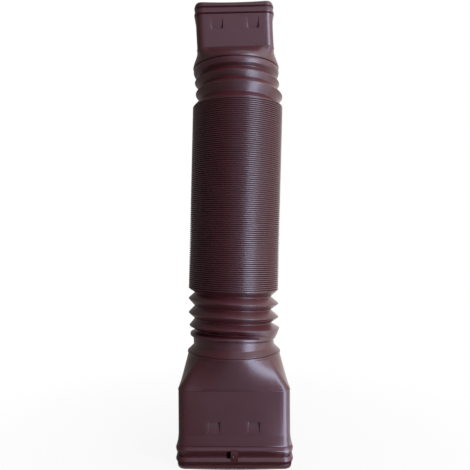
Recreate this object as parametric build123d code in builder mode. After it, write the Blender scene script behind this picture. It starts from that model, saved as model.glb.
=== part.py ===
from build123d import *
import os
from math import atan2, cos, degrees, radians, sin

# Flexible downspout extension, one moulded tube. It stands on its wide outlet, with the
# narrow inlet on top, the wide sides of both ends along X and the front facing -Y.
# All sizes are in millimetres.

wall = 1.2

# Outlet, the large rectangular socket at the bottom
outlet_width = 125.0
outlet_depth = 92.0
outlet_corner = 9.0
outlet_height = 87.5
outlet_bead_height = 2.5
outlet_bead_from_rim = 9.8
outlet_bead_spacing = 11.0

# Inlet, the small rectangular socket at the top
inlet_width = 88.5
inlet_depth = 64.0
inlet_corner = 8.0
inlet_height = 51.5
inlet_bead_height = 1.9
inlet_bead_from_rim = 9.4
inlet_bead_spacing = 8.0

# Each socket has two beads, and each bead is as wide as this on both sides of its crest
bead_half_width = 1.6

# Shoulders, which turn each socket's rectangle into the round tube. Each stands a small
# step proud of what it joins.
outlet_shoulder = 33.5
outlet_shoulder_radius = 54.0
inlet_shoulder = 17.0
inlet_shoulder_radius = 50.4
shoulder_step = 0.5
wide_side_arc = 86.0
narrow_side_arc = 80.0
side_facets = 6
corner_facets = 3

# Neck between the outlet's shoulder and the folds
neck_flare = 5.5
neck_radius = 47.6
neck_height = 12.0

# Open folds. Their roots share one radius, and every crest is given as its rise above them.
# The fold beside the neck is pinched shut.
fold_root = 45.0
outlet_fold_rise = 8.4
outlet_fold_count = 3
first_fold_pitch = 12.0
fold_pitch_growth = 2.0
pinched_fold_rise = 5.6
pinched_fold_pitch = 7.0
inlet_fold_rise = 6.4
inlet_fold_count = 2
inlet_fold_pitch = 14.0
last_flank = 11.0

# Collapsed stretch, where the folds lie pressed into each other. The real stack shows about
# 95 edges, and rib_count of them stand for it here.
rib_rise = 8.5
rib_depth = 1.5
rib_count = 17
ribbed_length = 213.0
end_flank = 6.0

# Locking ramps pressed into both wide sides of each socket, deepest away from the rim
ramp_width = 14.0
ramp_length = 12.2
ramp_depth = 3.0
outlet_ramp_offset = 22.2
outlet_ramp_from_rim = 38.0
inlet_ramp_offset = 20.7
inlet_ramp_from_rim = 20.2

# Screw pad across the beads at the front of the outlet, with a slot at its left
pad_width = 8.4
pad_below_bead = 3.4
pad_proud = 0.4
slot_width = 4.4
slot_height = 7.0

# Heights above the outlet's rim, and the duct's radius, each from the sizes above
neck_start = outlet_height + outlet_shoulder
neck_top = neck_start + neck_flare + neck_height
folds_start = neck_top + pinched_fold_pitch
outlet_pitches = [first_fold_pitch + i * fold_pitch_growth for i in range(outlet_fold_count)]
folds_end = folds_start + sum(outlet_pitches)
ribs_start = folds_end + end_flank
inlet_folds_start = ribs_start + ribbed_length + end_flank
inlet_folds_end = inlet_folds_start + inlet_fold_count * inlet_fold_pitch
round_end = inlet_folds_end + last_flank
length = round_end + inlet_shoulder + inlet_height
bore_radius = fold_root - wall


def fold(bottom, pitch, rise):
    """One open fold above its lower root: its crest, then its upper root."""
    return [(fold_root + rise, bottom + pitch / 2), (fold_root, bottom + pitch)]


def round_outside():
    """Outline of the round part, from the outlet's shoulder to the inlet's."""
    points = [
        (0, neck_start),
        (outlet_shoulder_radius, neck_start),
        (neck_radius, neck_start + neck_flare),
        (neck_radius, neck_top),
    ]
    points += fold(neck_top, pinched_fold_pitch, pinched_fold_rise)
    bottom = folds_start
    for pitch in outlet_pitches:
        points += fold(bottom, pitch, outlet_fold_rise)
        bottom += pitch
    rib_crest = fold_root + rib_rise
    rib_pitch = ribbed_length / rib_count
    points.append((rib_crest, ribs_start))
    for i in range(rib_count):
        points.append((rib_crest - rib_depth, ribs_start + (i + 0.5) * rib_pitch))
        points.append((rib_crest, ribs_start + (i + 1) * rib_pitch))
    points.append((fold_root, inlet_folds_start))
    for i in range(inlet_fold_count):
        points += fold(inlet_folds_start + i * inlet_fold_pitch, inlet_fold_pitch, inlet_fold_rise)
    return points + [(inlet_shoulder_radius, round_end), (0, round_end)]


def round_bore():
    """Outline of the duct through the round part, plain behind all the folds."""
    return [
        (0, neck_start),
        (outlet_shoulder_radius - wall, neck_start),
        (neck_radius - wall, neck_start + neck_flare),
        (bore_radius, neck_top),
        (bore_radius, round_end),
        (0, round_end),
    ]


def round_outline(radius, height):
    """Corners of the shoulder's round end, anticlockwise from beside the right side."""
    corner_arc = (180 - wide_side_arc - narrow_side_arc) / 2
    turns = [
        (corner_arc, corner_facets),
        (wide_side_arc, side_facets),
        (corner_arc, corner_facets),
        (narrow_side_arc, side_facets),
    ]
    points, start = [], narrow_side_arc / 2
    for turn, facets in turns * 2:
        for i in range(facets):
            angle = radians(start + turn * i / facets)
            points.append(Vector(radius * cos(angle), radius * sin(angle), height))
        start += turn
    return points


def box_outline(width, depth, corner, height):
    """The same corners on the socket's end: each round corner, then the side after it."""
    x, y = width / 2 - corner, depth / 2 - corner
    arcs = []
    for quarter, (i, j) in enumerate([(1, 1), (-1, 1), (-1, -1), (1, -1)]):
        turns = [radians(90 * (quarter + k / corner_facets)) for k in range(corner_facets + 1)]
        centre = Vector(i * x, j * y, height)
        arcs.append([centre + Vector(cos(turn), sin(turn)) * corner for turn in turns])
    points = []
    for quarter in range(4):
        start, end = arcs[quarter][-1], arcs[(quarter + 1) % 4][0]
        points += arcs[quarter]
        points += [start + (end - start) * (i / side_facets) for i in range(1, side_facets)]
    return points


def transition(low, high):
    """Solid between two outlines with as many corners each, in flat facets."""
    faces = [Face(Wire.make_polygon(low)), Face(Wire.make_polygon(high))]
    for i in range(len(low)):
        faces.append(Face(Wire.make_polygon([low[i - 1], low[i], high[i]])))
        faces.append(Face(Wire.make_polygon([low[i - 1], high[i], high[i - 1]])))
    return Solid(Shell(faces))


def socket(
    inset, width, depth, corner, height, beads, bead_height, ramps, ramp_start, shoulder, radius
):
    """One socket on its rim with its shoulder above, or the hollow inside them."""
    grow = shoulder_step - inset
    box_end = box_outline(width + 2 * grow, depth + 2 * grow, corner + grow, height)
    shoulder_form = transition(box_end, round_outline(radius + shoulder_step, height + shoulder))
    slope = degrees(atan2(bead_height, bead_half_width))
    ramp_end = ramp_start + ramp_length + inset
    with BuildPart() as body:
        with BuildSketch():
            RectangleRounded(width - 2 * inset, depth - 2 * inset, corner - inset)
        extrude(amount=height)
        if not inset:
            for bead in beads:
                with BuildSketch(Plane.XY.offset(bead)):
                    RectangleRounded(
                        width + 2 * bead_height, depth + 2 * bead_height, corner + bead_height
                    )
                extrude(amount=bead_half_width, both=True, taper=slope)
        add(shoulder_form)
        for x in (-ramps, ramps):
            with BuildSketch(Plane.YZ.offset(x)):
                with BuildLine():
                    face = depth / 2 - inset
                    Polyline(
                        (face, ramp_start), (face, ramp_end), (face - ramp_depth, ramp_end),
                        close=True,
                    )
                make_face()
                mirror(about=Plane.YZ)
            extrude(amount=ramp_width / 2 + inset, both=True, mode=Mode.SUBTRACT)
    return body.part


def form(inset, outline, inlet_end_radius):
    """The whole outer form, or with the wall as its inset the whole hollow."""
    outlet = socket(
        inset, outlet_width, outlet_depth, outlet_corner, outlet_height,
        [outlet_bead_from_rim, outlet_bead_from_rim + outlet_bead_spacing], outlet_bead_height,
        outlet_ramp_offset, outlet_ramp_from_rim, outlet_shoulder, outlet_shoulder_radius - inset,
    )
    inlet = socket(
        inset, inlet_width, inlet_depth, inlet_corner, inlet_height,
        [inlet_bead_from_rim, inlet_bead_from_rim + inlet_bead_spacing], inlet_bead_height,
        inlet_ramp_offset, inlet_ramp_from_rim, inlet_shoulder, inlet_end_radius,
    )
    with BuildPart() as whole:
        with BuildSketch(Plane.XZ):
            with BuildLine():
                Polyline(*outline, close=True)
            make_face()
        revolve(axis=Axis.Z)
        add(outlet)
        with Locations(Location((0, 0, length), (180, 0, 0))):
            add(inlet)
    return whole.part


outer_form = form(0, round_outside(), inlet_shoulder_radius)
hollow = form(wall, round_bore(), bore_radius)
pad_bottom = outlet_bead_from_rim - pad_below_bead
pad_top = outlet_bead_from_rim + outlet_bead_spacing
pad_middle = (pad_bottom + pad_top) / 2
pad_out = outlet_bead_height + pad_proud
front = Plane.XZ.offset(outlet_depth / 2)

with BuildPart() as extension:
    add(outer_form)
    with BuildSketch(front):
        with Locations((0, pad_middle)):
            Rectangle(pad_width, pad_top - pad_bottom)
    extrude(amount=pad_out)
    add(hollow, mode=Mode.SUBTRACT)
    with BuildSketch(front):
        with Locations((-(pad_width + slot_width) / 2, pad_middle)):
            Rectangle(slot_width, slot_height)
    extrude(amount=pad_out, both=True, mode=Mode.SUBTRACT)

extension.part.label = "downspout_extension"
os.makedirs("parts", exist_ok=True)
export_step(extension.part, "parts/downspout_extension.step")
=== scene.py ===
# %% [markdown]
# # Flexible downspout extension
# One blow-moulded plastic tube: a large rectangular socket at the bottom, a small one at the
# top, and bellows between them that are pushed together for most of their length. The packed
# model gives its place and its overall size. This script gives it its true thin wall, its
# pressed folds, its slight bend and its finish.

from math import cos, pi, radians, sin

import bpy
import numpy as np
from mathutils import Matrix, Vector


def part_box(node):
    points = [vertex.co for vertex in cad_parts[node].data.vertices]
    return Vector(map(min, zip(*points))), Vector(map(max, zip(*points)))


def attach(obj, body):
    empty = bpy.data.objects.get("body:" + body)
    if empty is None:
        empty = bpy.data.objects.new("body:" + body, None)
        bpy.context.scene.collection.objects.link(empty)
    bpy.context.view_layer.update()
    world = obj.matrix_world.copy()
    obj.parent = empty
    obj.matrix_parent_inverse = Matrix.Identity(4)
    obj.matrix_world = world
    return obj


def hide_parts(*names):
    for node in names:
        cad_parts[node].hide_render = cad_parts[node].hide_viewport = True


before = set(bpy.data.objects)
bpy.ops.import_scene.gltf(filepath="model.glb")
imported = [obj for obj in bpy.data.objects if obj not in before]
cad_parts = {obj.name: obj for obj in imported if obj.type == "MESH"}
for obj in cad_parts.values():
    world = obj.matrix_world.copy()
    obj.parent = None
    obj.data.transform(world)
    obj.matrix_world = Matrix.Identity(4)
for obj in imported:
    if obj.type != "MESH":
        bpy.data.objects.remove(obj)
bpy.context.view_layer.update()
NODE = "downspout_extension"
low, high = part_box(NODE)
MM = 0.001
length = (high.z - low.z) / MM
print("the tube stands", round(length, 1), "mm tall")

# %% [markdown]
# ## The whole tube is one grid
# A moulded tube has no seams, so its mesh has none either. Every height has a ring with the
# same number of columns. On the round stretches the columns lie on a circle, and on the
# sockets they lie on a rectangle with round corners. Rings that follow each other are joined
# by faces, so a circle turns into a rectangle just as the real shoulder does. Boxes and
# cylinders joined by booleans would be quicker to place, but would leave hard seams there.

# %% Columns
WALL = 1.2
WIDE_ARC, NARROW_ARC = 86.0, 80.0
CORNER_ARC = (180 - WIDE_ARC - NARROW_ARC) / 2
WIDE_COLUMNS, NARROW_COLUMNS, CORNER_COLUMNS = 28, 18, 5
HALF_WIDE = WIDE_COLUMNS // 2
COLUMNS = 2 * (WIDE_COLUMNS + NARROW_COLUMNS) + 4 * CORNER_COLUMNS
BACK = CORNER_COLUMNS + HALF_WIDE
FRONT = BACK + COLUMNS // 2


def circle_columns():
    """Unit circle, from the start of the back right corner and anticlockwise."""
    turns = []
    start = NARROW_ARC / 2
    stretches = [
        (CORNER_ARC, CORNER_COLUMNS),
        (WIDE_ARC, WIDE_COLUMNS),
        (CORNER_ARC, CORNER_COLUMNS),
        (NARROW_ARC, NARROW_COLUMNS),
    ]
    for arc, count in stretches * 2:
        turns += [radians(start + arc * i / count) for i in range(count)]
        start += arc
    return np.array([(cos(turn), sin(turn)) for turn in turns])


CIRCLE = circle_columns()


def box_columns(half_width, half_depth, corner, front=None, back=None):
    """Rectangle with round corners. front and back may say where the wide side's columns lie,
    as pairs of a column, counted from the middle, and its place along X."""
    x, y = half_width - corner, half_depth - corner
    points = []
    for quarter, (i, j) in enumerate([(1, 1), (-1, 1), (-1, -1), (1, -1)]):
        turns = [radians(90 * (quarter + k / CORNER_COLUMNS)) for k in range(CORNER_COLUMNS)]
        points += [(i * x + corner * cos(turn), j * y + corner * sin(turn)) for turn in turns]
        if quarter % 2:
            rows = np.linspace(y, -y, NARROW_COLUMNS, endpoint=False)
            points += [(i * half_width, -i * row) for row in rows]
        else:
            wanted = back if quarter == 0 else front
            steps, places = zip((-HALF_WIDE, -x), *(wanted or []), (HALF_WIDE, x))
            along = np.interp(np.arange(-HALF_WIDE, HALF_WIDE), steps, places)
            points += [(-i * place, j * half_depth) for place in along]
    return np.array(points)


print(COLUMNS, "columns, of which the front's middle one is", FRONT)

# %% [markdown]
# ## Sockets
# Each socket is a thin box on its rim. Two beads run round it near the rim. They rise gently
# from the rim and fall steeply on the side towards the tube, where a narrow groove draws a
# dark line. Two ramps are pressed into each wide side to lock the pipe: each slopes in from
# the wall and ends in a sharp ledge. A ramp's left wall starts with a small bevel, which
# catches a thin line of light. The outlet's front also has a flat pad for a screw across its
# beads, with a slot beside it. All of this could be cut with booleans. Here the grid's own
# columns and rows are moved to the edges instead, which keeps the faces in order. An edge stays
# sharp because two columns, or two rows, stand close together there.

# %% Sizes of the sockets in millimetres
EDGE = 0.3
RIM_ROUND = 0.35
DIP_FADE = 4.0

# grow says how far the outline stands out at each height from the rim. ramps are the middles
# of the two ramps along X. step is the small step on which the shoulder stands, and dip is
# how far the rim sinks at the middle of its front.
OUTLET = dict(
    half_width=62.3, half_depth=46.8, corner=9.0, height=85.3, beads_end=36.0, step=0.4, dip=0.0,
    grow=[(0, 0.9), (3.0, 1.2), (4.6, 1.0), (7.9, 2.7), (8.8, 3.0), (10.0, 2.7), (12.7, 1.0),
          (13.2, -0.3), (13.6, -0.4), (14.0, 0.6), (18.5, 2.5), (20.4, 3.0), (21.7, 2.8),
          (23.7, 1.5), (24.1, 0.9), (24.6, 1.1), (29.0, 0.7), (36.0, 0.0)],
    ramps=(-22.6, 21.3), ramp_start=38.8, ramp_length=12.2,
)
INLET = dict(
    half_width=43.8, half_depth=32.0, corner=8.0, height=51.5, beads_end=18.0, step=0.5, dip=1.3,
    grow=[(0, -0.2), (2.5, 0.8), (4.4, 1.4), (5.2, 1.4), (5.7, 0.2), (6.3, -0.5), (7.0, 0.3),
          (10.5, 1.2), (12.0, 1.8), (12.8, 1.7), (13.2, 0.3), (13.8, -0.4), (14.5, 0.5),
          (18.0, 0.2), (24.0, 0.0)],
    ramps=(-19.9, 20.7), ramp_start=18.8, ramp_length=11.6,
)

RAMP_HALF_WIDTH, RAMP_DEPTH, LEFT_LEAN, RIGHT_LEAN = 7.0, 3.0, 0.3, 2.0
BEVEL_WIDTH, BEVEL_SHARE = 1.1, 0.2

PAD_HALF_WIDTH, PAD_BOTTOM, PAD_TOP, PAD_FACE = 4.2, 7.9, 22.0, 50.1
SLOT_WIDTH, SLOT_BOTTOM, SLOT_TOP = 4.3, 11.8, 19.9
DIMPLE_X, DIMPLE_HEIGHT, DIMPLE_HALF_WIDTH, DIMPLE_DEPTH = -0.6, 14.8, 1.3, 1.3

for name, sizes in dict(outlet=OUTLET, inlet=INLET).items():
    print(name, "half width and half depth:", sizes["half_width"], sizes["half_depth"])

# %% Columns that follow the pad, and rows
SLOT_COLUMNS = (-5, -4)
PAD_COLUMNS = (-3, 3)
LEFT_OF_SLOT, RIGHT_OF_PAD = 2.5, 5.0
PAD_PLACES = [
    (-6, -PAD_HALF_WIDTH - SLOT_WIDTH - LEFT_OF_SLOT),
    (-5, -PAD_HALF_WIDTH - SLOT_WIDTH),
    (-4, -PAD_HALF_WIDTH),
    (-3, -PAD_HALF_WIDTH + EDGE),
    (-1, DIMPLE_X - DIMPLE_HALF_WIDTH),
    (0, DIMPLE_X),
    (1, DIMPLE_X + DIMPLE_HALF_WIDTH),
    (3, PAD_HALF_WIDTH - EDGE),
    (4, PAD_HALF_WIDTH),
    (6, PAD_HALF_WIDTH + RIGHT_OF_PAD),
]
PAD_ROWS = [
    PAD_BOTTOM, PAD_BOTTOM + EDGE, SLOT_BOTTOM, DIMPLE_HEIGHT, SLOT_TOP, PAD_TOP - EDGE, PAD_TOP
]
ROW_GAP, LEAST_TO_BEND, LEAST_TO_ROW = 1.3, 0.15, 0.5


def rows_of(sizes, extra):
    """Heights of the rows over the beads: the extra ones, the bends of the outline, and others
    in between, each at a least distance from the rows before it."""
    bends = [height for height, grow in sizes["grow"][1:]]
    between = np.arange(ROW_GAP, sizes["beads_end"], ROW_GAP)
    wanted = [(height, LEAST_TO_BEND) for height in bends]
    wanted += [(height, LEAST_TO_ROW) for height in between]
    rows = list(extra)
    for height, least in wanted:
        if height <= sizes["beads_end"] and all(abs(height - row) > least for row in rows):
            rows.append(height)
    return sorted(rows)


print("rows over the outlet's beads:", len(rows_of(OUTLET, PAD_ROWS)))

# %% Columns that follow the ramps


def ramp_places(sizes, lean):
    """Places of the front's columns at both ramps, and each column within a ramp with its
    share of the depth. The ramps' side walls lean inwards by the given share of their full
    lean, and the left one starts with a bevel."""
    edge = sizes["half_width"] - sizes["corner"]
    bevel = EDGE + BEVEL_WIDTH * lean
    left_lean, right_lean = bevel + EDGE + LEFT_LEAN * lean, EDGE + RIGHT_LEAN * lean
    places, inside = [], []
    for middle in sizes["ramps"]:
        left, right = middle - RAMP_HALF_WIDTH, middle + RAMP_HALF_WIDTH
        first, last = (round(place / edge * HALF_WIDE) for place in (left, right))
        places += [(first, left), (first + 1, left + bevel), (first + 2, left + left_lean)]
        places += [(last, right - right_lean), (last + 1, right)]
        inside += [(first + 1, BEVEL_SHARE)] + [(i, 1) for i in range(first + 2, last + 1)]
    return places, inside


print("columns within the outlet's ramps:", len(ramp_places(OUTLET, 1)[1]))

# %% Rings of the sockets
BELOW_RAMP, ABOVE_RAMP = 1.5, 2.0
SHOULDER_ROWS = 6


def socket_ring(sizes, height, inwards, front=None, back=None, step=0.0):
    """One ring round a socket at a height from its rim, moved inwards from its outside."""
    grow = np.interp(height, *zip(*sizes["grow"])) - inwards + step
    sides = sizes["half_width"] + grow, sizes["half_depth"] + grow
    columns = box_columns(*sides, sizes["corner"] + grow, front, back)
    middle = np.clip(1 - (columns[:, 0] / sides[0]) ** 2, 0, 1) * (columns[:, 1] < 0)
    heights = height + sizes["dip"] * middle * np.exp(-height / DIP_FADE)
    return np.column_stack([columns, heights])


def bead_rings(sizes, inset, pad):
    """Rings from the rim to above the beads. The pad and its dimple are on the outside only."""
    front = PAD_PLACES if pad else None
    rings = [socket_ring(sizes, 0.0, WALL - RIM_ROUND if inset else RIM_ROUND, front)]
    for height in rows_of(sizes, PAD_ROWS if pad else []):
        ring = socket_ring(sizes, height, inset, front)
        if pad and inset == 0 and PAD_BOTTOM < height < PAD_TOP:
            ring[FRONT + PAD_COLUMNS[0] : FRONT + PAD_COLUMNS[1] + 1, 1] = -PAD_FACE
            if height == DIMPLE_HEIGHT:
                ring[FRONT, 1] += DIMPLE_DEPTH
        rings.append(ring)
    return rings


def ramp_rings(sizes, inset):
    """Rings over the ramps, which are pressed into the front and the back alike. Each row has
    a height, a share of the ramps' depth and a share of their walls' lean."""
    start, end = sizes["ramp_start"], sizes["ramp_start"] + sizes["ramp_length"]
    ramp_rows = [(start - BELOW_RAMP, 0, 0), (start, 0, 0), (end, 1, 1)]
    ramp_rows += [(end + EDGE, 0, 1), (end + ABOVE_RAMP, 0, 0)]
    rings = []
    for height, depth, lean in ramp_rows:
        front, inside = ramp_places(sizes, lean)
        back = [(-column, -place) for column, place in reversed(front)]
        ring = socket_ring(sizes, height, inset, front, back)
        for column, share in inside:
            ring[FRONT + column, 1] += depth * share * RAMP_DEPTH
            ring[BACK - column, 1] -= depth * share * RAMP_DEPTH
        rings.append(ring)
    return rings


def socket_rings(sizes, inset, pad):
    """Rings from the rim to the shoulder's foot, with heights counted from the rim."""
    foot = [
        socket_ring(sizes, sizes["height"] - 2 * EDGE, inset),
        socket_ring(sizes, sizes["height"], inset, step=sizes["step"]),
    ]
    return bead_rings(sizes, inset, pad) + ramp_rings(sizes, inset) + foot


def shoulder_rings(foot, head, bulge):
    """Rings between a socket's last one and the round tube's first. Where bulge is over 1
    the shoulder turns round early."""
    rings = []
    for share in np.linspace(0, 1, SHOULDER_ROWS + 2)[1:-1]:
        early = 1 - (1 - share) ** bulge
        rings.append(foot + (head - foot) * np.array([early, early, share]))
    return rings


print("rings on the outlet:", len(socket_rings(OUTLET, 0, True)))

# %% [markdown]
# ## Round stretches
# Above the outlet's shoulder come a flare, a neck, one fold that is pinched shut and three
# open folds, then the long pressed stack, then two open folds. Each outline is a list of
# corners, and every corner is rounded by a small arc, since blown plastic never has a knife
# edge. The arcs are what draws a thin line of light along each crest. A Screw modifier could
# turn the same outline, but its rings have to meet the sockets' columns one to one.

# %% Corners of the two round outlines, as radius and height in millimetres
ROOT, NECK_RADIUS, OUTLET_CREST = 45.0, 47.6, 53.6
STACK_START, STACK_END, STACK_CREST = 193.0, 408.2, 53.2
LIP_INWARDS, LIP_BEYOND = 1.4, 0.6
OUTLET_BULGE, INLET_BULGE = 1.0, 1.3

NECK = [(54.0, 118.4), (54.9, 119.8), (54.6, 121.2), (52.8, 121.4), (53.2, 122.2),
        (NECK_RADIUS, 127.8)]
PINCHED = [(NECK_RADIUS, 137.6), (50.9, 138.8), (50.8, 141.6), (42.5, 143.6)]
OPENED = [(NECK_RADIUS, 134.5), (50.2, 137.0), (50.9, 139.0), (51.8, 141.5)]
OUTLET_FOLDS = [
    (OUTLET_CREST, 148.9), (ROOT, 156.1), (OUTLET_CREST, 163.0), (ROOT, 171.2),
    (OUTLET_CREST, 179.3), (ROOT, 187.0), (STACK_CREST - LIP_INWARDS, STACK_START - LIP_BEYOND),
]
INLET_FOLDS = [
    (STACK_CREST - LIP_INWARDS, STACK_END + LIP_BEYOND), (ROOT, 414.3), (51.7, 421.2),
    (ROOT, 429.3), (50.4, 435.8), (ROOT, 442.3), (49.4, 445.2), (50.6, 448.4), (50.0, 451.2),
    (48.6, 452.0), (50.2, 452.6), (50.9, 453.8), (50.5, 455.4),
]
print("corners on the folds below and above the stack:", len(OUTLET_FOLDS), len(INLET_FOLDS))

# %% Rings of the round stretches
# An arc takes up at most CORNER_SHARE of the shorter side at its corner. RIGHT_FROM says where
# along X, in parts of the radius, the right side's outline starts to come in, and RIGHT_OVER
# how far it takes.
CORNER_RADIUS, CORNER_STEPS, CORNER_SHARE = 0.9, 3, 0.4
RIGHT_FROM, RIGHT_OVER = 0.1, 0.75


def rounded(corners):
    """The same outline with an arc at each inner corner."""
    points = [corners[0]]
    for before, corner, after in zip(corners, corners[1:], corners[2:]):
        here = Vector(corner)
        back, ahead = Vector(before) - here, Vector(after) - here
        half = back.angle(ahead) / 2
        longest = CORNER_SHARE * min(back.length, ahead.length)
        reach = min(CORNER_RADIUS / np.tan(half), longest)
        start, end = here + back.normalized() * reach, here + ahead.normalized() * reach
        for i in range(CORNER_STEPS + 1):
            share = i / CORNER_STEPS
            points.append(start.lerp(here, share).lerp(here.lerp(end, share), share))
    return np.array([tuple(point) for point in [*points, corners[-1]]])


def round_rings(corners, inset, right_corners=None):
    """Rings of a round outline, moved inwards by the inset. The right side may have another
    outline with as many corners, and one passes into the other round the tube. The inside's
    corners, which are hardly seen, stay plain."""
    shape = np.array if inset else rounded
    outline = shape(corners)
    change = shape(right_corners or corners) - outline
    rightness = np.clip((CIRCLE[:, 0] - RIGHT_FROM) / RIGHT_OVER, 0, 1)
    rings = []
    for (radius, height), (radius_change, height_change) in zip(outline, change):
        radii = radius - inset + radius_change * rightness
        heights = height + height_change * rightness
        rings.append(np.column_stack([CIRCLE * radii[:, None], heights]))
    return rings


def lower_rings(inset):
    """From the outlet's rim to the pressed stack."""
    socket = socket_rings(OUTLET, inset, pad=True)
    above = round_rings(NECK + PINCHED + OUTLET_FOLDS, inset, NECK + OPENED + OUTLET_FOLDS)
    return socket + shoulder_rings(socket[-1], above[0], OUTLET_BULGE) + above


def upper_rings(inset):
    """From the pressed stack to the inlet's rim."""
    socket = [ring * (1, 1, -1) + (0, 0, length) for ring in socket_rings(INLET, inset, pad=False)]
    below = round_rings(INLET_FOLDS, inset)
    shoulder = shoulder_rings(socket[-1], below[-1], INLET_BULGE)
    return below + shoulder[::-1] + socket[::-1]


print("rings below and above the stack:", len(lower_rings(0)), len(upper_rings(0)))

# %% [markdown]
# ## Node trees written as sums
# One small class wraps a node's output, so that a rule can be written as plain arithmetic. It
# serves the geometry of the pressed folds and the plastic's finish alike.

# %% Wires


class Wire:
    """The output of a node, which takes part in sums and products."""

    def __init__(self, tree, socket):
        self.tree, self.socket = tree, socket

    def math(self, operation, *values):
        return node(self.tree, "ShaderNodeMath", dict(operation=operation), dict(enumerate(values)))

    def __add__(self, other):
        return self.math("ADD", self, other)

    def __radd__(self, other):
        return self.math("ADD", other, self)

    def __sub__(self, other):
        return self.math("SUBTRACT", self, other)

    def __rsub__(self, other):
        return self.math("SUBTRACT", other, self)

    def __mul__(self, other):
        return self.math("MULTIPLY", self, other)

    def __rmul__(self, other):
        return self.math("MULTIPLY", other, self)

    def __truediv__(self, other):
        return self.math("DIVIDE", self, other)

    def __rtruediv__(self, other):
        return self.math("DIVIDE", other, self)

    def floor(self):
        return self.math("FLOOR", self)

    def cosine(self):
        return self.math("COSINE", self)

    def clamp(self):
        return node(self.tree, "ShaderNodeClamp", None, {0: self})


def node(tree, kind, settings=None, sockets=None, output=0):
    """Makes any node: its settings first, then its sockets' values or links."""
    made = tree.nodes.new(kind)
    for name, value in (settings or {}).items():
        setattr(made, name, value)
    for name, value in (sockets or {}).items():
        if isinstance(value, Wire):
            tree.links.new(value.socket, made.inputs[name])
        else:
            made.inputs[name].default_value = value
    return Wire(tree, made.outputs[output])


print("a wire has", len([name for name in vars(Wire) if not name.startswith("_")]), "methods")

# %% [markdown]
# ## Pressed folds
# Pushed together, about 95 folds stand as fine ribs with a sharp groove between them. A bump
# in the material would be cheaper, but wouldn't show at the tube's edges. The folds repeat by
# a rule, so Geometry Nodes make them: a vertical line is swept with the circle's
# columns, which gives rings joined by faces, and then each point is put where its fold and
# its column say. Real folds never lie quite level, so each gets a small tilt and shift of its
# own from a fixed seed. The same tree makes the outside and, with fewer rows, the inside.

# %% The tree of the pressed folds
TREE_INPUTS = dict(Ring="Geometry", Folds="Int", Rows="Int", Bottom="Float", Top="Float",
                   Crest="Float", Depth="Float", Tilt="Float", Seed="Int", Plastic="Material")


def pressed_tree():
    """Geometry Nodes for a stack of pressed folds on a ring of columns."""
    tree = bpy.data.node_groups.new("Pressed folds", "GeometryNodeTree")
    tree.interface.new_socket("Geometry", in_out="OUTPUT", socket_type="NodeSocketGeometry")
    for name, kind in TREE_INPUTS.items():
        tree.interface.new_socket(name, in_out="INPUT", socket_type="NodeSocket" + kind)
    group = tree.nodes.new("NodeGroupInput")
    given = {socket.name: Wire(tree, socket) for socket in group.outputs if socket.name}
    ring, folds, rows = given["Ring"], given["Folds"], given["Rows"]

    count = {"Count": folds * rows + 1, "Offset": (0, 0, 1)}
    line = node(tree, "GeometryNodeMeshLine", None, count)
    path = node(tree, "GeometryNodeMeshToCurve", None, {"Mesh": line})
    around = node(tree, "GeometryNodeMeshToCurve", None, {"Mesh": ring})
    sweep = node(tree, "GeometryNodeCurveToMesh", None, {"Curve": path, "Profile Curve": around})

    index = node(tree, "GeometryNodeInputIndex")
    columns = node(tree, "GeometryNodeAttributeDomainSize", None, {"Geometry": ring})
    row = ((index + 0.5) / columns).floor()
    value = {"Geometry": ring, "Index": index - row * columns}
    value["Value"] = node(tree, "GeometryNodeInputPosition")
    spot = node(tree, "GeometryNodeSampleIndex", dict(data_type="FLOAT_VECTOR"), value)
    x, y = (node(tree, "ShaderNodeSeparateXYZ", None, {0: spot}, axis) for axis in (0, 1))

    # fold numbers the folds from 0, and a quarter row keeps it from slipping to the one below.
    # groove is 1 where two folds meet and 0 on a crest. inner is 0 on the first and last row,
    # so that the stack's ends stay level.
    share = row / rows
    fold = ((row + 0.25) / rows).floor()
    groove = (((share - fold) * (2 * pi)).cosine() + 1) * 0.5
    inner = share.math("COMPARE", share, folds * 0.5, folds * 0.5 - 0.01)

    def chance(number):
        """A small random length of each fold, with a number for each use."""
        sockets = {"ID": fold, "Seed": given["Seed"] + number}
        random = node(tree, "FunctionNodeRandomValue", dict(data_type="FLOAT"), sockets, 1)
        return (random - 0.5) * given["Tilt"] * inner

    radius = given["Crest"] - given["Depth"] * groove * groove * groove + chance(0) * 0.5
    pitch = (given["Top"] - given["Bottom"]) / folds
    height = given["Bottom"] + share * pitch + chance(1) * x + chance(2) * y
    place = node(tree, "ShaderNodeCombineXYZ", None, {0: x * radius, 1: y * radius, 2: height})
    moved = node(tree, "GeometryNodeSetPosition", None, {"Geometry": sweep, "Position": place})
    whole = node(tree, "GeometryNodeRealizeInstances", None, {0: moved})
    painted = {"Geometry": whole, "Material": given["Plastic"]}
    finish = node(tree, "GeometryNodeSetMaterial", None, painted)
    out = tree.nodes.new("NodeGroupOutput")
    tree.links.new(finish.socket, out.inputs[0])
    return tree


PRESSED = pressed_tree()
print("the tree of the pressed folds has", len(PRESSED.nodes), "nodes")

# %% Rings of the pressed stack
plastic = bpy.data.materials.new("moulded_plastic")
PRESSED_FOLDS, PRESSED_DEPTH, UNEVEN, SEED = 95, 1.7, 0.12, 7
ROWS_OUTSIDE, ROWS_INSIDE, BEHIND_STACK = 4, 2, 5.0


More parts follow.
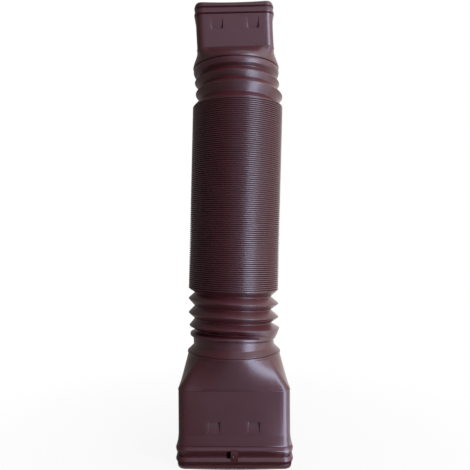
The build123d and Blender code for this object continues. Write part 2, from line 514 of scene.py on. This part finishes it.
def pressed_rings(rows, crest):
    """The stack's rings, as the evaluated tree gives them, in metres."""
    mesh = bpy.data.meshes.new("ring of columns")
    edges = [(i, (i + 1) % COLUMNS) for i in range(COLUMNS)]
    mesh.from_pydata([(x, y, 0) for x, y in CIRCLE], edges, [])
    carrier = bpy.data.objects.new("ring of columns", mesh)
    bpy.context.collection.objects.link(carrier)
    modifier = carrier.modifiers.new("Pressed folds", "NODES")
    modifier.node_group = PRESSED
    values = dict(Folds=PRESSED_FOLDS, Rows=rows, Bottom=STACK_START * MM, Top=STACK_END * MM,
                  Crest=crest * MM, Depth=PRESSED_DEPTH * MM, Tilt=UNEVEN * MM, Seed=SEED,
                  Plastic=plastic)
    for item in PRESSED.interface.items_tree:
        if item.in_out == "INPUT" and item.name in values:
            modifier[item.identifier] = values[item.name]
    evaluated = carrier.evaluated_get(bpy.context.evaluated_depsgraph_get())
    made = bpy.data.meshes.new_from_object(evaluated)
    carrier.modifiers.remove(modifier)
    spots = np.array([vertex.co for vertex in made.vertices])
    bpy.data.objects.remove(carrier)
    return spots.reshape(PRESSED_FOLDS * rows + 1, COLUMNS, 3)


outer_stack = pressed_rings(ROWS_OUTSIDE, STACK_CREST)
inner_stack = pressed_rings(ROWS_INSIDE, STACK_CREST - BEHIND_STACK)
print("rings in the stack, outside and inside:", len(outer_stack), len(inner_stack))

# %% [markdown]
# ## One closed mesh
# The outside runs up from the outlet's rim, and the inside runs back down, a wall's thickness
# further in. Each ring is joined to the next by quads, and the last to the first, so the
# surface is closed. A Solidify modifier gives a wall too, but in narrow folds its inner side
# cuts into itself. A tube that has been pushed together by hand is never quite straight: its
# stack leans a little to the right, and its open folds slope. A few heights, each with a shift
# and a slope, bend the whole grid.

# %% Bend
BEND = np.array([
    # height, shift to the right, rise for each millimetre to the right and to the front
    (0, -0.4, 0.0, 0.0), (121, -1.2, 0.0, 0.0), (129, -1.2, 0.0, 0.010),
    (139, -2.1, -0.010, 0.020), (149, -0.9, -0.030, 0.052), (156, -2.6, -0.060, 0.045),
    (163, -1.6, -0.052, 0.045), (171, -2.7, -0.054, 0.035), (179, -1.7, -0.060, 0.025),
    (187, -2.6, -0.058, 0.020), (193, -1.9, -0.025, 0.010), (300, 0.6, -0.024, 0.010),
    (400, 3.0, -0.012, 0.010), (408, 3.2, 0.005, 0.0),
    (414, 4.0, -0.037, 0.050), (421, 4.8, -0.031, 0.086), (429, 3.6, -0.020, 0.070),
    (436, 2.4, -0.011, 0.047), (442, 1.9, 0.0, 0.040), (453, 1.2, 0.010, 0.026),
    (470, 0.6, 0.028, 0.030), (490, -0.5, 0.028, 0.030), (520, -1.5, 0.022, 0.034),
])


def bent(rings):
    """The grid's points, shifted and sloped as the pushed-together tube is."""
    middle = rings[:, :, 2].mean(axis=1, keepdims=True) / MM
    shift, right, front = (np.interp(middle, BEND[:, 0], BEND[:, i]) for i in (1, 2, 3))
    moved = rings.copy()
    moved[:, :, 2] += right * rings[:, :, 0] - front * rings[:, :, 1]
    moved[:, :, 0] += shift * MM
    return moved


def column_grid(inset, stack):
    """All rings of one side of the wall, from the outlet's rim to the inlet's, in metres."""
    below, above = (np.array(made(inset)) * MM for made in (lower_rings, upper_rings))
    return np.concatenate([below, stack, above])


grid = bent(np.concatenate([column_grid(0, outer_stack), column_grid(WALL, inner_stack)[::-1]]))
print("rings in all:", len(grid))

# %% Faces, with the slot left open
SHARP_ANGLE = 32
rows = len(grid)
heights_near_rim = [0.0, *rows_of(OUTLET, PAD_ROWS)]
slot_rows = [heights_near_rim.index(height) for height in (SLOT_BOTTOM, SLOT_TOP)]
slot_columns = [FRONT + column for column in SLOT_COLUMNS]


def point_number(row, column):
    """Number of a grid point."""
    return (row % rows) * COLUMNS + column % COLUMNS


def in_slot(row, column):
    """Whether the face above and to the right of a point lies in the slot, in either wall."""
    return column == slot_columns[0] and (
        slot_rows[0] <= row < slot_rows[1] or slot_rows[0] <= rows - 2 - row < slot_rows[1]
    )


faces = []
for row in range(rows):
    for column in range(COLUMNS):
        if not in_slot(row, column):
            spots = [(row, column), (row, column + 1), (row + 1, column + 1), (row + 1, column)]
            faces.append([point_number(*spot) for spot in spots])

# The slot's own walls, which join the outside to the inside
left, right = slot_columns
bottom, top = slot_rows
around_slot = [(bottom, left), (bottom, right)]
around_slot += [(row, right) for row in range(bottom + 1, top + 1)]
around_slot += [(row, left) for row in range(top, bottom, -1)]
for (row, column), (next_row, next_column) in zip(around_slot, around_slot[1:] + around_slot[:1]):
    outer = [(row, column), (next_row, next_column)]
    inner = [(rows - 1 - next_row, next_column), (rows - 1 - row, column)]
    faces.append([point_number(*spot) for spot in outer + inner])

mesh = bpy.data.meshes.new("moulded_tube")
mesh.from_pydata([tuple(point) for point in grid.reshape(-1, 3)], [], faces)
mesh.materials.append(plastic)
mesh.shade_smooth()
mesh.set_sharp_from_angle(angle=radians(SHARP_ANGLE))
tube = bpy.data.objects.new("moulded_tube", mesh)
bpy.context.collection.objects.link(tube)
print("the tube has", 2 * len(faces), "triangles")

# %% [markdown]
# ## Plastic
# Dark maroon moulded polyethylene with a soft gloss. Its colour is even. Its gloss isn't: the
# mould leaves a faint grain, and handling leaves patches that are a little duller, so both
# roughness and a fine bump follow a noise in the object's own coordinates.

# %% Finish
MAROON = (0.085, 0.016, 0.020, 1)
LEAST_ROUGHNESS, DULLER, PATCH_RELIEF = 0.26, 0.08, 2.0

plastic.use_nodes = True
tree = plastic.node_tree
shader = tree.nodes["Principled BSDF"]
shader.inputs["Base Color"].default_value = MAROON
place = node(tree, "ShaderNodeTexCoord", output=3)
large = {"Vector": place, "Scale": 38.0, "Detail": 3.0}
fine = {"Vector": place, "Scale": 900.0, "Detail": 1.0}
patches, grain = (node(tree, "ShaderNodeTexNoise", None, values) for values in (large, fine))
roughness = LEAST_ROUGHNESS + patches * DULLER
tree.links.new(roughness.socket, shader.inputs["Roughness"])
relief = {"Height": grain + patches * PATCH_RELIEF, "Strength": 0.12, "Distance": 0.0006}
bump = node(tree, "ShaderNodeBump", None, relief)
tree.links.new(bump.socket, shader.inputs["Normal"])
print("the plastic's material has", len(tree.nodes), "nodes")

# %% Tie the tube to the frame
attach(tube, "root")
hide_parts(NODE)
print(tube.name, "rides on root and replaces", NODE)

# %% [markdown]
# ## Studio
# A white sweep: the floor is white paper that keeps the tube's soft shadow and fades into the
# white backdrop. Two soft lamps light the plastic's own colour, one like a window to the right
# of the camera and a broad one further round. What shows in the gloss is a ring of cards, one
# for each part of the room: a bright window, a pale right side and a dim left side. A dark ring
# just over the floor round the tube's base is painted shade: it stands in for the paper's shade
# next to the tube, so that the low surfaces that face down reflect it dark.

# %% Helpers of the studio


def plate(name, points, faces):
    """A piece of the studio, which isn't part of the object."""
    made_mesh = bpy.data.meshes.new(name)
    made_mesh.from_pydata(points, [], faces)
    made = bpy.data.objects.new(name, made_mesh)
    bpy.context.collection.objects.link(made)
    return made


def seen_white(tree):
    """1 for the rays that show the backdrop: camera, glossy and transmission rays."""
    path = tree.nodes.new("ShaderNodeLightPath")
    camera, glossy, through = (
        Wire(tree, path.outputs[name])
        for name in ("Is Camera Ray", "Is Glossy Ray", "Is Transmission Ray")
    )
    return (camera + glossy + through).clamp()


def end_tree(tree, result):
    """Links a tree's result to a material output."""
    tree.links.new(result.socket, tree.nodes.new("ShaderNodeOutputMaterial").inputs[0])


# %% Floor and backdrop, in metres
FLOOR_HALF = 1.6
PAPER_COLOUR, NEAR_WHITE = 0.8, 0.92
FADE_FROM, FADE_OVER = 0.08, 0.35
UNDER_TUBE, UNDER_EDGE = 0.05, 0.02
AMBIENT = 0.06

sides = [(-1, -1), (1, -1), (1, 1), (-1, 1)]
floor = plate("floor", [(x * FLOOR_HALF, y * FLOOR_HALF, 0) for x, y in sides], [(0, 1, 2, 3)])
paper = bpy.data.materials.new("white_paper")
paper.use_nodes = True
floor.data.materials.append(paper)
tree = paper.node_tree
tree.nodes.clear()
place = node(tree, "ShaderNodeTexCoord", output=3)
distance = node(tree, "ShaderNodeVectorMath", dict(operation="LENGTH"), {0: place}, 1)
fade = ((distance - FADE_FROM) / FADE_OVER).clamp()
outside = ((distance - UNDER_TUBE) / UNDER_EDGE).clamp()
white = seen_white(tree) * (NEAR_WHITE + fade * (1 - NEAR_WHITE)) * outside
matt = node(tree, "ShaderNodeBsdfDiffuse", None, {"Color": (*[PAPER_COLOUR] * 3, 1)})
glow = node(tree, "ShaderNodeEmission", None, {"Strength": 1.0})
paper_shader = node(tree, "ShaderNodeMixShader", None, {0: white, 1: matt, 2: glow})
end_tree(tree, paper_shader)

world = bpy.data.worlds.new("studio")
bpy.context.scene.world = world
world.use_nodes = True
tree = world.node_tree
strength = AMBIENT + seen_white(tree) * (1 - AMBIENT)
tree.links.new(strength.socket, tree.nodes["Background"].inputs["Strength"])
tree.nodes["Background"].inputs["Color"].default_value = (1, 1, 1, 1)
print("the floor is", 2 * FLOOR_HALF, "m wide")

# %% Cards that show only in the gloss
CARD_REACH, CARD_HEIGHT, CARD_LIFT, CARD_STEPS = 2.4, 2.6, 0.002, 12
PAINTED_SHADE_START, PAINTED_SHADE_REACH, PAINTED_SHADE_LIFT, CEILING_END = 0.01, 0.085, 0.003, 0.05

# Outlines of the cards, as distance from the tube's axis and height
# The first outline is the dark ring round the base, painted shade that shows only in the gloss
PAINTED_SHADE_RING = [(PAINTED_SHADE_START, PAINTED_SHADE_LIFT), (PAINTED_SHADE_REACH, PAINTED_SHADE_LIFT)]
GROUND = [(PAINTED_SHADE_REACH, CARD_LIFT), (CARD_REACH, CARD_LIFT)]
WALL_CARD = [(CARD_REACH, CARD_LIFT), (CARD_REACH, CARD_HEIGHT)]
GROUND_AND_WALL = GROUND + WALL_CARD[1:]
WALL_AND_CEILING = WALL_CARD + [(CEILING_END, CARD_HEIGHT)]
ROOM = GROUND + WALL_AND_CEILING[1:]


def card(name, start, end, colour, outline):
    """A glowing card swept round the tube between two azimuths from the camera's side. It
    shows in the gloss and nowhere else."""
    turns = [radians(start + (end - start) * i / CARD_STEPS) for i in range(CARD_STEPS + 1)]
    points = [(reach * sin(turn), -reach * cos(turn), z) for turn in turns for reach, z in outline]
    count = len(outline)
    starts = [count * i + k for i in range(CARD_STEPS) for k in range(count - 1)]
    made = plate(name, points, [(s, s + count, s + count + 1, s + 1) for s in starts])
    cloth = bpy.data.materials.new(name)
    cloth.use_nodes = True
    tree = cloth.node_tree
    tree.nodes.clear()
    strength = max(colour)
    hue = [value / strength for value in colour]
    glow = node(tree, "ShaderNodeEmission", None, {"Color": (*hue, 1), "Strength": strength})
    end_tree(tree, glow)
    made.data.materials.append(cloth)
    made.visible_camera = made.visible_diffuse = made.visible_shadow = False


# Each card's two azimuths in degrees, its colour and its outline
CARDS = dict(
    # foot is painted shade: a dark ring under the tube that darkens what the low surfaces reflect
    foot=(-180, 180, (0.06, 0.06, 0.06), PAINTED_SHADE_RING),
    back_left=(-180, -130, (0.32, 0.30, 0.28), ROOM),
    left=(-130, -50, (0.28, 0.26, 0.26), ROOM),
    front_left=(-50, -14, (0.36, 0.36, 0.44), WALL_AND_CEILING),
    front_left_floor=(-50, -14, (0.28, 0.28, 0.34), GROUND),
    front=(-14, 30, (0.9, 1.05, 1.3), WALL_AND_CEILING),
    front_floor=(-14, 30, (0.5, 0.6, 0.78), GROUND),
    window=(30, 56, (7.0, 8.8, 11.6), GROUND_AND_WALL),
    right=(56, 95, (2.0, 2.3, 2.6), ROOM),
    back_right=(95, 180, (1.25, 1.2, 1.2), ROOM),
)
for name, values in CARDS.items():
    card(name, *values)
print("the studio has", len(CARDS), "cards")

# %% Lamps


def lamp(name, azimuth, distance, height, size, watts, colour):
    """A soft rectangular lamp at an azimuth from the camera's side, aimed at the tube. It is
    kept out of the gloss, where the cards show instead."""
    data = bpy.data.lights.new(name, "AREA")
    data.shape = "RECTANGLE"
    data.size, data.size_y = size
    data.energy, data.color = watts, colour
    made = bpy.data.objects.new(name, data)
    bpy.context.collection.objects.link(made)
    made.visible_glossy = False
    turn = radians(azimuth)
    made.location = (distance * sin(turn), -distance * cos(turn), height)
    aim = Vector((0, 0, length * MM / 2)) - made.location
    made.rotation_mode = "QUATERNION"
    made.rotation_quaternion = aim.to_track_quat("-Z", "Y")


# Each lamp's azimuth in degrees, distance, height and size in metres, power and colour
LAMPS = dict(
    window_light=(46, 1.5, 1.05, (0.8, 1.2), 22, (0.88, 0.94, 1.0)),
    right_light=(100, 1.5, 0.6, (1.3, 1.6), 12, (1.0, 0.90, 0.86)),
)
for name, values in LAMPS.items():
    lamp(name, *values)
print("the studio has", len(LAMPS), "lamps")

# %% [markdown]
# ## Camera
# The photo was taken level, from about the tube's middle height and 0.6 m away, which is why
# both sockets look a little wider than they would from afar.

# %% Camera
EYE_HEIGHT, EYE_DISTANCE = 0.2546, 0.5928
FOCAL_PIXELS, SHIFT_PIXELS, FRAME_PIXELS = 497, 2, 470
camera_data = bpy.data.cameras.new("camera")
camera_data.sensor_width = 36
camera_data.lens = camera_data.sensor_width * FOCAL_PIXELS / FRAME_PIXELS
camera_data.shift_y = SHIFT_PIXELS / FRAME_PIXELS
camera = bpy.data.objects.new("camera", camera_data)
bpy.context.collection.objects.link(camera)
camera.location = (0, -EYE_DISTANCE, EYE_HEIGHT)
camera.rotation_euler = (pi / 2, 0, 0)
bpy.context.scene.camera = camera
bpy.context.scene.view_settings.view_transform = "Standard"
print("the lens is", round(camera_data.lens, 1), "mm")
